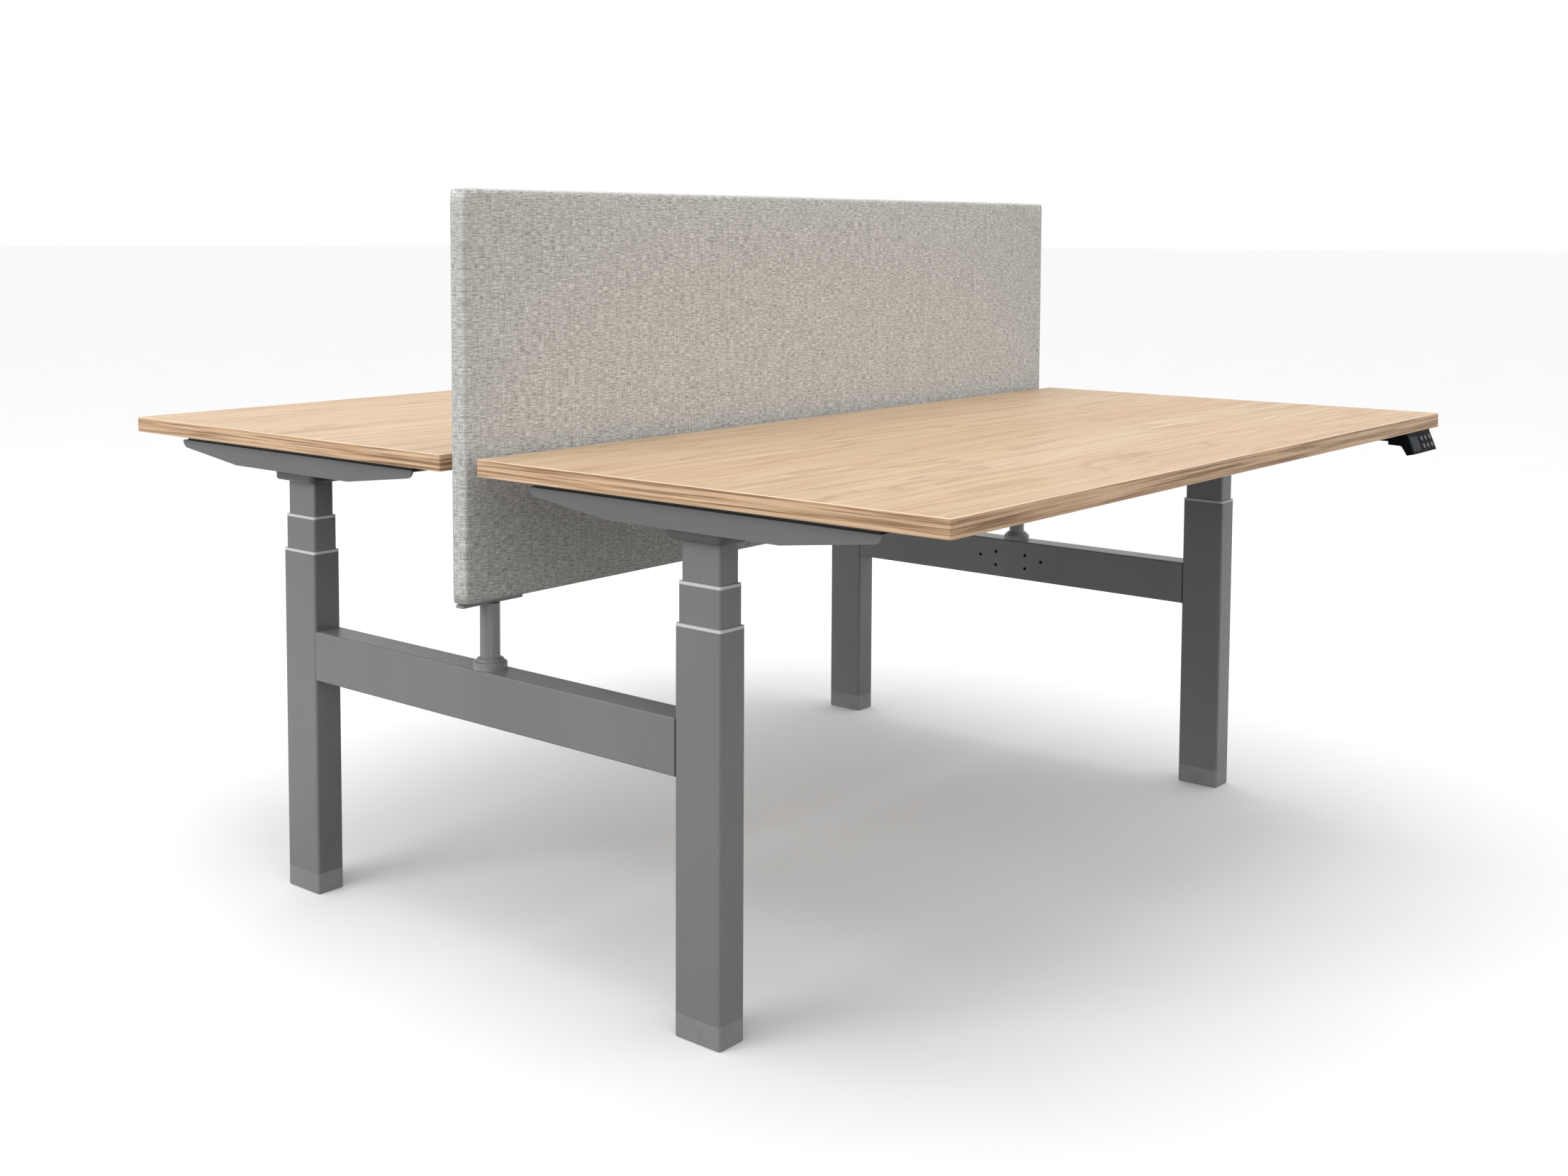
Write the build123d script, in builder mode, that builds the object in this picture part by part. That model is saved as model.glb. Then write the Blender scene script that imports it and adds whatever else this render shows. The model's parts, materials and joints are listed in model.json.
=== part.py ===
from build123d import *
import os
from math import hypot

# Double sit-stand bench: two desktops, one each side of an upholstered screen, on two H-shaped
# end frames. Every leg is a three-stage column, so each desktop rises and sinks by itself.
# Frame: X along the desktops, Y across the bench, Z up, origin on the floor at mid-bench. All in mm.

ENDS = {"near": -1, "far": 1}
SIDES = {"front": -1, "rear": 1}

# Desktops
TOP_LENGTH = 1600
TOP_DEPTH = 800
TOP_THICKNESS = 25
TOP_HEIGHT = 750
TOP_CORNER = 3
BAND = 2
BAND_ARRIS = 0.8
DESK_GAP = 80
UNDERSIDE = TOP_HEIGHT - TOP_THICKNESS
TOP_Y = (DESK_GAP + TOP_DEPTH) / 2

# Columns: outer, middle and inner stages, as (size along X, size along Y)
COLUMN_X = 740
COLUMN_Y = 428
OUTER = (50, 80)
MIDDLE = (44, 74)
INNER = (38, 68)
WALL = 2
TUBE_RADIUS = 4
CAP_HEIGHT = 33
CAP_PLUG = 7
CAP_CHAMFER = 1.2
OUTER_TOP = 556
MIDDLE_SPAN = (100, 612)
INNER_SPAN = (160, 672)
RIM = 4
LINER_DEPTH = 40
GLIDE = 0.35
PLUG_GAP = 0.2

# Lifting screws inside each column
NUT_TUBE_RADIUS = 13.5
NUT_TUBE_WALL = 2
NUT_RADIUS = 15
NUT_SPAN = (355, 380)
NUT_FLANGE = (28, 56, 4)
HOLLOW_SCREW_RADIUS = 10
HOLLOW_SCREW_SPAN = (100, 500)
DRIVE_SCREW_RADIUS = 6
DRIVE_SCREW_SPAN = (160, 568)
SCREW_CHAMFER = 1.5
DRIVE_STUB = (4.5, 5)

# Motor unit in the head of each inner tube
HEAD_SIZE = (70, 100, 14)
HEAD_RADIUS = 10
HEAD_EDGE = 5
MOTOR_RADIUS = 16
MOTOR_BOTTOM = 576
MOTOR_PLUG = 32
MOTOR_BOSS = (10, 6)

# Cross beams of the end frames
BEAM = (50, 80)
BEAM_WALL = 3
BEAM_RADIUS = 3
BEAM_BORE_RADIUS = 1.5
BEAM_TOP = 432
BEAM_SEAM = 0.5
SPIGOT_LENGTH = 40
SPIGOT_WALL = 5
SPIGOT_GAP = 0.5
HOLE_GRID = (70, 28)
HOLE_PAIR = 145
HOLE_SHIFT = 2
HOLE_RADIUS = 3.5
BEAM_MIDDLE = BEAM_TOP - BEAM[1] / 2
BEAM_HALF = COLUMN_Y - OUTER[1] / 2 - BEAM_SEAM

# Countersunk frame screws through the beams' undersides
FRAME_SCREW = (4, 9)
FRAME_SCREW_HEAD = 7
FRAME_SCREW_OFFSETS = (12, 28)
SCREW_PLAY = 0.2

# Screen and its posts
SCREEN_LENGTH = 1600
SCREEN_THICKNESS = 36
SCREEN_BOTTOM = 534
SCREEN_TOP = 1135
SCREEN_EDGE = 9
SCREEN_TOP_EDGE = 8
CORE_THICKNESS = 18
CORE_INSET = 10
CORE_GAP = 0.4
POST_RADIUS = 15
POST_WALL = 2
POST_PLUG = 30
POST_PLATE = (120, 17, 4)
STUD_RADIUS = 5
STUD_LENGTH = 18
STUD_NUT = (9.5, 8)
COLLAR_FLANGE = (25.5, 11)
COLLAR_FLANGE_EDGE = 3
COLLAR_NECK = (21, 16)
COLLAR_NECK_EDGE = 4

# Support arms across the desktops, over each column
ARM_WIDTH = 80
ARM_BOTTOM = 686
ARM_SKIRT_TOP = 717
ARM_FLAT = 147
ARM_SLOPE = 290
ARM_SLOPE_TOP = 704
ARM_HALF = 302
ARM_END_TOP = 714
ARM_WALL = 2.5
ARM_LIP_INSET = 6
ARM_BULGE = 0.65
ARM_BOSS = (8, 225)
ARM_SADDLE = 95

# Long rails, control boxes and the wood screws that hold the frame to the desktop
RAIL = (30, 25)
RAIL_WALL = 3
RAIL_OFFSET = 75
RAIL_HALF = COLUMN_X - ARM_WIDTH / 2
RAIL_SCREWS = (-620, -220, 220, 620)
WOOD_SCREW = (2.5, 15)
WOOD_SCREW_HEAD = (5, 3)
WOOD_SCREW_DOME = 1
WOOD_SCREW_TIP_PLAY = 1
SCREW_SEAT = UNDERSIDE - RAIL_WALL
BOX = (260, 104, 32)
BOX_EDGE = 4
BOX_EAR = (16, 3)
INLET = (28, 20, 14)
SOCKET = (14, 9, 8)

# Handsets under the users' edges
HANDSET_X = 695.5
HANDSET_WIDTH = 111
HANDSET_BACK = 770
HANDSET_STEP = 808
HANDSET_LEVELS = (710, 704)
HANDSET_HEEL = (831, 703)
HANDSET_CHIN = (841, 687)
FACE_FOOT = (854, 690)
FACE_HEAD = (841, UNDERSIDE - 2.5)
HANDSET_EDGE = 0.8
WINDOW = (40, 27, 0.8)
WINDOW_X = -31
WINDOW_RADIUS = 1
BUTTON_RADIUS = 4.8
BUTTON_LENGTH = 4
BUTTON_PROUD = 1.2
BUTTON_EDGE = 0.6
BUTTON_PLAY = 0.35
BUTTON_WELL = 4.6
BUTTON_COLUMNS = (3, 22, 41)
BUTTON_ROW = 7
BUTTONS = {"up": (0, 1), "down": (0, -1), "memory_1": (1, 1), "memory_2": (1, -1),
           "memory_3": (2, 1), "store": (2, -1)}


def save(builder, name):
    """Label a finished piece and write its STEP file."""
    builder.part.label = name
    export_step(builder.part, f"parts/{name}.step")


def column_plane(end, side, height):
    """Horizontal plane centred on one column."""
    return Plane(origin=(end * COLUMN_X, side * COLUMN_Y, height))


def columns():
    """The four column positions, as end and side signs."""
    return [(end, side) for end in ENDS.values() for side in SIDES.values()]


def ring(outer, outer_radius, inner, inner_radius):
    """Rounded rectangle with a rounded rectangular hole, in the sketch in hand."""
    RectangleRounded(*outer, outer_radius)
    RectangleRounded(*inner, inner_radius, mode=Mode.SUBTRACT)


def inside(size, wall):
    """Inner size of a tube of the given outer size and wall."""
    return size[0] - 2 * wall, size[1] - 2 * wall


# Fixed end frames

def outer_column(end, side):
    """Outer tube of a column, with the welded spigot that carries the cross beam."""
    tip = (end * COLUMN_X, side * (COLUMN_Y - OUTER[1] / 2 - SPIGOT_LENGTH), BEAM_MIDDLE)
    spigot = inside(BEAM, BEAM_WALL + SPIGOT_GAP)
    hollow = inside(spigot, SPIGOT_WALL)
    with BuildPart() as column:
        with BuildSketch(column_plane(end, side, CAP_HEIGHT)):
            ring(OUTER, TUBE_RADIUS, inside(OUTER, WALL), TUBE_RADIUS - WALL)
        extrude(amount=OUTER_TOP - CAP_HEIGHT)
        with BuildSketch(Plane(origin=tip, x_dir=(1, 0, 0), z_dir=(0, side, 0))):
            ring(spigot, BEAM_BORE_RADIUS, hollow, BEAM_BORE_RADIUS)
        extrude(amount=SPIGOT_LENGTH)
        with BuildSketch(Plane.XY.offset(BEAM_TOP - BEAM[1])):
            with Locations(*frame_screw_points(end, side)):
                Circle(FRAME_SCREW[0] + SCREW_PLAY)
        extrude(amount=BEAM_WALL + SPIGOT_GAP + SPIGOT_WALL, mode=Mode.SUBTRACT)
    return column


def frame_screw_points(end, side):
    """Two screw centres under each end of a cross beam."""
    return [(end * COLUMN_X, side * (BEAM_HALF - offset)) for offset in FRAME_SCREW_OFFSETS]


def frame_screw_seats(end, side):
    """Middles of the countersunk heads of those screws, in the beam's lower wall."""
    height = BEAM_TOP - BEAM[1] + BEAM_WALL / 2
    return [(x, y, height) for x, y in frame_screw_points(end, side)]


def column_end_caps():
    """Moulded foot caps, flush with the columns, plugged into their lower ends."""
    with BuildPart() as caps:
        for end, side in columns():
            with BuildSketch(column_plane(end, side, 0)):
                RectangleRounded(*OUTER, TUBE_RADIUS)
            extrude(amount=CAP_HEIGHT)
            with BuildSketch(column_plane(end, side, CAP_HEIGHT)):
                RectangleRounded(*inside(OUTER, WALL + PLUG_GAP), TUBE_RADIUS - WALL)
            extrude(amount=CAP_PLUG)
        chamfer(caps.faces().group_by(Axis.Z)[0].edges(), CAP_CHAMFER)
    return caps


def glide_bushes(places, tube, stage, top):
    """Plastic rims on the mouths of tubes, each with a thin liner that guides the next stage."""
    bore = (stage[0] + 2 * GLIDE, stage[1] + 2 * GLIDE)
    liner = inside(tube, WALL + PLUG_GAP / 2)
    with BuildPart() as bushes:
        for end, side in places:
            with BuildSketch(column_plane(end, side, top)):
                ring(tube, TUBE_RADIUS, bore, TUBE_RADIUS)
            extrude(amount=RIM)
            with BuildSketch(column_plane(end, side, top - LINER_DEPTH)):
                ring(liner, TUBE_RADIUS - WALL, bore, TUBE_RADIUS - WALL)
            extrude(amount=LINER_DEPTH)
    return bushes


def lift_nut_tubes():
    """Standing tubes on the foot caps, each with a lift nut at its top."""
    floor = CAP_HEIGHT + CAP_PLUG
    bore = HOLLOW_SCREW_RADIUS + GLIDE
    with BuildPart() as tubes:
        for end, side in columns():
            with BuildSketch(column_plane(end, side, floor)):
                RectangleRounded(NUT_FLANGE[0], NUT_FLANGE[1], TUBE_RADIUS)
                Circle(NUT_TUBE_RADIUS - NUT_TUBE_WALL, mode=Mode.SUBTRACT)
            extrude(amount=NUT_FLANGE[2])
            with BuildSketch(column_plane(end, side, floor)):
                Circle(NUT_TUBE_RADIUS)
                Circle(NUT_TUBE_RADIUS - NUT_TUBE_WALL, mode=Mode.SUBTRACT)
            extrude(amount=NUT_SPAN[0] - floor)
            with BuildSketch(column_plane(end, side, NUT_SPAN[0])):
                Circle(NUT_RADIUS)
                Circle(bore, mode=Mode.SUBTRACT)
            extrude(amount=NUT_SPAN[1] - NUT_SPAN[0])
    return tubes


def accessory_face(end):
    """Plane on a cross beam's inner face, its own Y axis upwards."""
    origin = (end * (COLUMN_X - BEAM[0] / 2), 0, BEAM_MIDDLE)
    return Plane(origin=origin, x_dir=(0, -end, 0), z_dir=(-end, 0, 0))


def cross_beam(end):
    """Box beam between an end frame's two columns, drilled for accessories and the screen post."""
    with BuildPart() as beam:
        with BuildSketch(Plane.XZ.offset(BEAM_HALF)):
            with Locations((end * COLUMN_X, BEAM_MIDDLE)):
                ring(BEAM, BEAM_RADIUS, inside(BEAM, BEAM_WALL), BEAM_BORE_RADIUS)
        extrude(amount=-2 * BEAM_HALF)
        with BuildSketch(accessory_face(end)):
            with Locations((0, -HOLE_SHIFT)):
                with GridLocations(HOLE_GRID[0], HOLE_GRID[1], 2, 2):
                    Circle(HOLE_RADIUS)
            with Locations((-HOLE_PAIR / 2, HOLE_SHIFT), (HOLE_PAIR / 2, HOLE_SHIFT)):
                Circle(HOLE_RADIUS)
        extrude(amount=-BEAM_WALL, mode=Mode.SUBTRACT)
        with BuildSketch(Plane.XY.offset(BEAM_TOP)):
            with Locations((end * COLUMN_X, 0)):
                Circle(STUD_RADIUS + SCREW_PLAY)
        extrude(amount=-BEAM_WALL, mode=Mode.SUBTRACT)
        for side in SIDES.values():
            with Locations(*frame_screw_seats(end, side)):
                Cone(FRAME_SCREW_HEAD + SCREW_PLAY, FRAME_SCREW[0] + SCREW_PLAY, BEAM_WALL,
                     mode=Mode.SUBTRACT)
    return beam


def frame_fasteners():
    """Flush screws that clamp the beams on their spigots, and the captive nuts of the post studs."""
    with BuildPart() as fasteners:
        for end, side in columns():
            with Locations(*frame_screw_seats(end, side)):
                Cone(FRAME_SCREW_HEAD, FRAME_SCREW[0], BEAM_WALL)
            with BuildSketch(Plane.XY.offset(BEAM_TOP - BEAM[1])):
                with Locations(*frame_screw_points(end, side)):
                    Circle(FRAME_SCREW[0])
            extrude(amount=FRAME_SCREW[1])
        for end in ENDS.values():
            with BuildSketch(Plane(origin=(end * COLUMN_X, 0, BEAM_TOP - BEAM_WALL))):
                RegularPolygon(STUD_NUT[0], 6)
                Circle(STUD_RADIUS + SCREW_PLAY, mode=Mode.SUBTRACT)
            extrude(amount=-STUD_NUT[1])
    return fasteners


# Screen

def screen_posts():
    """Round posts on the beams, each with a stud into the beam and a plate under the screen."""
    plate_bottom = SCREEN_BOTTOM - POST_PLATE[2]
    with BuildPart() as posts:
        for end in ENDS.values():
            with BuildSketch(Plane(origin=(end * COLUMN_X, 0, BEAM_TOP))):
                Circle(POST_RADIUS)
            extrude(amount=plate_bottom - BEAM_TOP)
            with BuildSketch(Plane(origin=(end * COLUMN_X, 0, BEAM_TOP + POST_PLUG))):
                Circle(POST_RADIUS - POST_WALL)
            extrude(amount=plate_bottom - BEAM_TOP - POST_PLUG, mode=Mode.SUBTRACT)
            with BuildSketch(Plane(origin=(end * COLUMN_X, 0, plate_bottom))):
                RectangleRounded(POST_PLATE[0], POST_PLATE[1], TUBE_RADIUS)
            extrude(amount=POST_PLATE[2])
            with BuildSketch(Plane(origin=(end * COLUMN_X, 0, BEAM_TOP))):
                Circle(STUD_RADIUS)
            extrude(amount=-STUD_LENGTH)
    return posts


def post_collars():
    """Stepped round collars that cover the feet of the posts."""
    with BuildPart() as collars:
        for end in ENDS.values():
            with BuildSketch(Plane(origin=(end * COLUMN_X, 0, BEAM_TOP))):
                Circle(COLLAR_FLANGE[0])
            extrude(amount=COLLAR_FLANGE[1])
            with BuildSketch(Plane(origin=(end * COLUMN_X, 0, BEAM_TOP))):
                Circle(COLLAR_NECK[0])
            extrude(amount=COLLAR_NECK[1])
        rims = collars.edges().filter_by(GeomType.CIRCLE)
        fillet(rims.group_by(SortBy.RADIUS)[-1].group_by(Axis.Z)[-1], COLLAR_FLANGE_EDGE)
        fillet(rims.group_by(Axis.Z)[-1], COLLAR_NECK_EDGE)
        for end in ENDS.values():
            with BuildSketch(Plane(origin=(end * COLUMN_X, 0, BEAM_TOP))):
                Circle(POST_RADIUS + SCREW_PLAY)
            extrude(amount=COLLAR_NECK[1], mode=Mode.SUBTRACT)
    return collars


def screen_core():
    """Stiff board inside the screen."""
    with BuildPart() as core:
        with BuildSketch(Plane.XY.offset(SCREEN_BOTTOM)):
            Rectangle(SCREEN_LENGTH - 2 * CORE_INSET, CORE_THICKNESS)
        extrude(amount=SCREEN_TOP - SCREEN_BOTTOM - CORE_INSET)
    return core


def screen_upholstery():
    """Padded fabric sleeve round the board, open along the bottom edge."""
    slot_height = SCREEN_TOP - SCREEN_BOTTOM - CORE_INSET + CORE_GAP
    with BuildPart() as pad:
        with BuildSketch(Plane.XY.offset(SCREEN_BOTTOM)):
            RectangleRounded(SCREEN_LENGTH, SCREEN_THICKNESS, SCREEN_EDGE)
        extrude(amount=SCREEN_TOP - SCREEN_BOTTOM)
        fillet(pad.faces().sort_by(Axis.Z)[-1].edges(), SCREEN_TOP_EDGE)
        with BuildSketch(Plane.XY.offset(SCREEN_BOTTOM)):
            Rectangle(SCREEN_LENGTH - 2 * CORE_INSET + 2 * CORE_GAP, CORE_THICKNESS + 2 * CORE_GAP)
        extrude(amount=slot_height, mode=Mode.SUBTRACT)
    return pad


# Middle stages

def middle_tube(end, side):
    """Middle tube of a column."""
    with BuildPart() as tube:
        with BuildSketch(column_plane(end, side, MIDDLE_SPAN[0])):
            ring(MIDDLE, TUBE_RADIUS, inside(MIDDLE, WALL), TUBE_RADIUS - WALL)
        extrude(amount=MIDDLE_SPAN[1] - MIDDLE_SPAN[0])
    return tube


def hollow_lift_screws(side):
    """Hollow screws that travel with the middle stages, between lift nut and drive screw."""
    low, high = HOLLOW_SCREW_SPAN
    with BuildPart() as screws:
        for end in ENDS.values():
            with BuildSketch(column_plane(end, side, low)):
                Circle(HOLLOW_SCREW_RADIUS)
                Circle(DRIVE_SCREW_RADIUS + GLIDE, mode=Mode.SUBTRACT)
            extrude(amount=high - low)
    return screws


# Lifting desks

def inner_tube(end, side):
    """Inner tube of a column, which carries the desktop frame."""
    with BuildPart() as tube:
        with BuildSketch(column_plane(end, side, INNER_SPAN[0])):
            ring(INNER, TUBE_RADIUS, inside(INNER, WALL), TUBE_RADIUS - WALL)
        extrude(amount=INNER_SPAN[1] - INNER_SPAN[0])
    return tube


def drive_screw(end, side):
    """Solid screw that the motor turns, with a turned-down drive end."""
    low, high = DRIVE_SCREW_SPAN
    with BuildPart() as screw:
        with BuildSketch(column_plane(end, side, low)):
            Circle(DRIVE_SCREW_RADIUS)
        extrude(amount=high - low)
        chamfer(screw.faces().sort_by(Axis.Z)[0].edges(), SCREW_CHAMFER)
        with BuildSketch(column_plane(end, side, high)):
            Circle(DRIVE_STUB[0])
        extrude(amount=DRIVE_STUB[1])
    return screw


def lift_motors(side):
    """Motor units: a rounded head flange, a plug in the tube, the motor can and its output boss."""
    head_bottom = INNER_SPAN[1]
    plug = inside(INNER, WALL + PLUG_GAP)
    with BuildPart() as motors:
        for end in ENDS.values():
            with BuildSketch(column_plane(end, side, head_bottom)):
                RectangleRounded(HEAD_SIZE[0], HEAD_SIZE[1], HEAD_RADIUS)
            extrude(amount=HEAD_SIZE[2])
        fillet(motors.faces().group_by(Axis.Z)[0].edges(), HEAD_EDGE)
        for end in ENDS.values():
            with BuildSketch(column_plane(end, side, head_bottom)):
                RectangleRounded(*plug, TUBE_RADIUS - WALL)
            extrude(amount=-MOTOR_PLUG)
            with BuildSketch(column_plane(end, side, head_bottom - MOTOR_PLUG)):
                Circle(MOTOR_RADIUS)
            extrude(amount=MOTOR_BOTTOM - head_bottom + MOTOR_PLUG)
            with BuildSketch(column_plane(end, side, MOTOR_BOTTOM)):
                Circle(MOTOR_BOSS[0])
                Circle(DRIVE_STUB[0] + GLIDE, mode=Mode.SUBTRACT)
            extrude(amount=-MOTOR_BOSS[1])
    return motors


def arm_outline(side, end_inset, wall):
    """Side profile of a support arm: flat over the column, sloping up to rounded ends."""
    middle = side * COLUMN_Y
    half = ARM_HALF - end_inset
    slope = ARM_SLOPE - end_inset
    flat = ARM_FLAT - end_inset / 2
    slope_top = ARM_SLOPE_TOP + wall
    end_top = ARM_END_TOP + wall / 2
    arc_y = slope + ARM_BULGE * (half - slope)
    arc_z = end_top - ARM_BULGE * (end_top - slope_top)
    with BuildSketch() as outline:
        with BuildLine():
            Polyline((middle - slope, slope_top), (middle - flat, ARM_BOTTOM + wall),
                     (middle + flat, ARM_BOTTOM + wall), (middle + slope, slope_top))
            for sign in (-1, 1):
                ThreePointArc((middle + sign * slope, slope_top), (middle + sign * arc_y, arc_z),
                              (middle + sign * half, end_top))
            Polyline((middle + half, end_top), (middle + half, UNDERSIDE), (middle - half, UNDERSIDE),
                     (middle - half, end_top))
        make_face()
    return outline.sketch


def support_arm(end, side):
    """Pressed angle across the desktop over a column: a web with a lip set back under the desktop,
    an outboard skirt, and a box section over the column's head."""
    middle = (end * COLUMN_X, side * COLUMN_Y)
    lip_width = ARM_WIDTH - 2 * ARM_LIP_INSET
    lip_length = 2 * (ARM_HALF - ARM_LIP_INSET)
    ledge = ARM_SKIRT_TOP - ARM_WALL
    screws = [(middle[0], middle[1] - ARM_BOSS[1]), (middle[0], middle[1] + ARM_BOSS[1])]
    outer_profile = arm_outline(side, 0, 0)
    inner_profile = arm_outline(side, ARM_WALL, ARM_WALL)
    with BuildPart() as arm:
        with BuildSketch(Plane.YZ.offset(middle[0] - ARM_WIDTH / 2)):
            add(outer_profile)
        extrude(amount=ARM_WIDTH)
        with BuildSketch(Plane.XY.offset(ARM_SKIRT_TOP)):
            with Locations(middle):
                Rectangle(2 * ARM_WIDTH, 3 * ARM_HALF)
                Rectangle(lip_width, lip_length, mode=Mode.SUBTRACT)
        extrude(amount=UNDERSIDE - ARM_SKIRT_TOP, mode=Mode.SUBTRACT)
        with BuildSketch(Plane.YZ.offset(middle[0] - ARM_WIDTH / 2 + ARM_WALL)):
            add(inner_profile)
            with Locations((middle[1], ledge)):
                Rectangle(3 * ARM_HALF, UNDERSIDE, align=(Align.CENTER, Align.MIN), mode=Mode.SUBTRACT)
        extrude(amount=ARM_WIDTH - 2 * ARM_WALL, mode=Mode.SUBTRACT)
        with BuildSketch(Plane.XY.offset(ARM_SKIRT_TOP)):
            with Locations(middle):
                Rectangle(lip_width - 2 * ARM_WALL, lip_length - 2 * ARM_WALL)
        extrude(amount=UNDERSIDE - ARM_SKIRT_TOP, mode=Mode.SUBTRACT)
        with BuildSketch(Plane.XY.offset(ARM_BOTTOM)):
            with Locations((middle[0] - end * ARM_WALL, middle[1])):
                Rectangle(ARM_WIDTH, 3 * ARM_HALF)
                Rectangle(ARM_WIDTH, 2 * ARM_SADDLE, mode=Mode.SUBTRACT)
        extrude(amount=ledge - ARM_BOTTOM, mode=Mode.SUBTRACT)
        with BuildSketch(Plane.XY.offset(ledge)):
            with Locations(*screws):
                Circle(ARM_BOSS[0])
        extrude(amount=UNDERSIDE - ledge)
        with BuildSketch(Plane.XY.offset(ARM_BOTTOM)):
            with Locations(*screws):
                Circle(WOOD_SCREW[0] + SCREW_PLAY)
        extrude(amount=UNDERSIDE - ARM_BOTTOM, mode=Mode.SUBTRACT)
        with BuildSketch(Plane.XY.offset(ARM_BOTTOM)):
            with Locations(*screws):
                Circle(WOOD_SCREW_HEAD[0] + 2 * SCREW_PLAY)
        extrude(amount=SCREW_SEAT - ARM_BOTTOM, mode=Mode.SUBTRACT)
    return arm


def rail_screw_points(side):
    """Centres of the wood screws that go up through the two long rails."""
    rows = (side * COLUMN_Y - RAIL_OFFSET, side * COLUMN_Y + RAIL_OFFSET)
    return [(x, y) for x in RAIL_SCREWS for y in rows]


def wood_screw_points(side):
    """All the wood screws of one desktop: rails, then support arms."""
    arms = [(end * COLUMN_X, side * COLUMN_Y + offset)
            for end in ENDS.values() for offset in (-ARM_BOSS[1], ARM_BOSS[1])]
    return rail_screw_points(side) + arms


def long_rails(side):
    """Two box rails under a desktop, from support arm to support arm."""
    with BuildPart() as rails:
        for offset in (-RAIL_OFFSET, RAIL_OFFSET):
            with BuildSketch(Plane.YZ.offset(-RAIL_HALF)):
                with Locations((side * COLUMN_Y + offset, UNDERSIDE - RAIL[1] / 2)):
                    ring(RAIL, BEAM_RADIUS, inside(RAIL, RAIL_WALL), BEAM_BORE_RADIUS)
            extrude(amount=2 * RAIL_HALF)
        with BuildSketch(Plane.XY.offset(UNDERSIDE)):
            with Locations(*rail_screw_points(side)):
                Circle(WOOD_SCREW[0] + SCREW_PLAY)
        extrude(amount=-RAIL_WALL, mode=Mode.SUBTRACT)
        with BuildSketch(Plane.XY.offset(UNDERSIDE - RAIL[1])):
            with Locations(*rail_screw_points(side)):
                Circle(WOOD_SCREW_HEAD[0] + 2 * SCREW_PLAY)
        extrude(amount=RAIL_WALL, mode=Mode.SUBTRACT)
    return rails


def wood_screws(side):
    """Pan-head wood screws that hold rails and arms to a desktop."""
    with BuildPart() as screws:
        with BuildSketch(Plane.XY.offset(SCREW_SEAT)):
            with Locations(*wood_screw_points(side)):
                Circle(WOOD_SCREW_HEAD[0])
        extrude(amount=-WOOD_SCREW_HEAD[1])
        chamfer(screws.faces().group_by(Axis.Z)[0].edges(), WOOD_SCREW_DOME)
        with BuildSketch(Plane.XY.offset(SCREW_SEAT)):
            with Locations(*wood_screw_points(side)):
                Circle(WOOD_SCREW[0])
        extrude(amount=WOOD_SCREW[1] + RAIL_WALL)
    return screws


def desktop(side):
    """Board of one desktop, drilled from below for its screws."""
    with BuildPart() as board:
        with BuildSketch(Plane(origin=(0, side * TOP_Y, UNDERSIDE))):
            RectangleRounded(TOP_LENGTH - 2 * BAND, TOP_DEPTH - 2 * BAND, TOP_CORNER - BAND)
        extrude(amount=TOP_THICKNESS)
        with BuildSketch(Plane.XY.offset(UNDERSIDE)):
            with Locations(*wood_screw_points(side)):
                Circle(WOOD_SCREW[0] + SCREW_PLAY)
        extrude(amount=WOOD_SCREW[1] + WOOD_SCREW_TIP_PLAY, mode=Mode.SUBTRACT)
    return board


def edge_band(side):
    """Edge band glued round one desktop, its outer edges eased."""
    with BuildPart() as band:
        with BuildSketch(Plane(origin=(0, side * TOP_Y, UNDERSIDE))):
            ring((TOP_LENGTH, TOP_DEPTH), TOP_CORNER,
                 (TOP_LENGTH - 2 * BAND, TOP_DEPTH - 2 * BAND), TOP_CORNER - BAND)
        extrude(amount=TOP_THICKNESS)
        top_loop = band.faces().sort_by(Axis.Z)[-1].outer_wire().edges()
        bottom_loop = band.faces().sort_by(Axis.Z)[0].outer_wire().edges()
        chamfer(top_loop + bottom_loop, BAND_ARRIS)
    return band


def control_box(side):
    """Control box between the rails, with fixing ears, a mains inlet and a row of sockets."""
    middle = side * COLUMN_Y
    bottom = UNDERSIDE - BOX[2]
    level = UNDERSIDE - BOX[2] / 2
    inlet_end = Plane(origin=(-BOX[0] / 2, middle, level), x_dir=(0, 1, 0), z_dir=(-1, 0, 0))
    socket_end = Plane(origin=(BOX[0] / 2, middle, level), x_dir=(0, 1, 0), z_dir=(1, 0, 0))
    with BuildPart() as box:
        with BuildSketch(Plane(origin=(0, middle, bottom))):
            RectangleRounded(BOX[0], BOX[1], BOX_EDGE)
        extrude(amount=BOX[2])
        fillet(box.faces().sort_by(Axis.Z)[0].edges(), BOX_EDGE / 2)
        with BuildSketch(Plane(origin=(0, middle, UNDERSIDE - BOX_EAR[1]))):
            RectangleRounded(BOX[0] + 2 * BOX_EAR[0], BOX[1] / 2, BOX_EDGE)
        extrude(amount=BOX_EAR[1])
        with BuildSketch(inlet_end):
            RectangleRounded(INLET[0], INLET[1], BOX_EDGE)
        extrude(amount=-INLET[2], mode=Mode.SUBTRACT)
        with BuildSketch(socket_end):
            with GridLocations(2 * SOCKET[0], 0, 3, 1):
                Rectangle(SOCKET[0], SOCKET[1])
        extrude(amount=-SOCKET[2], mode=Mode.SUBTRACT)
    return box


# Handsets

def face_length():
    """Length of a handset's sloping face."""
    return hypot(FACE_FOOT[0] - FACE_HEAD[0], FACE_HEAD[1] - FACE_FOOT[1])


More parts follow.
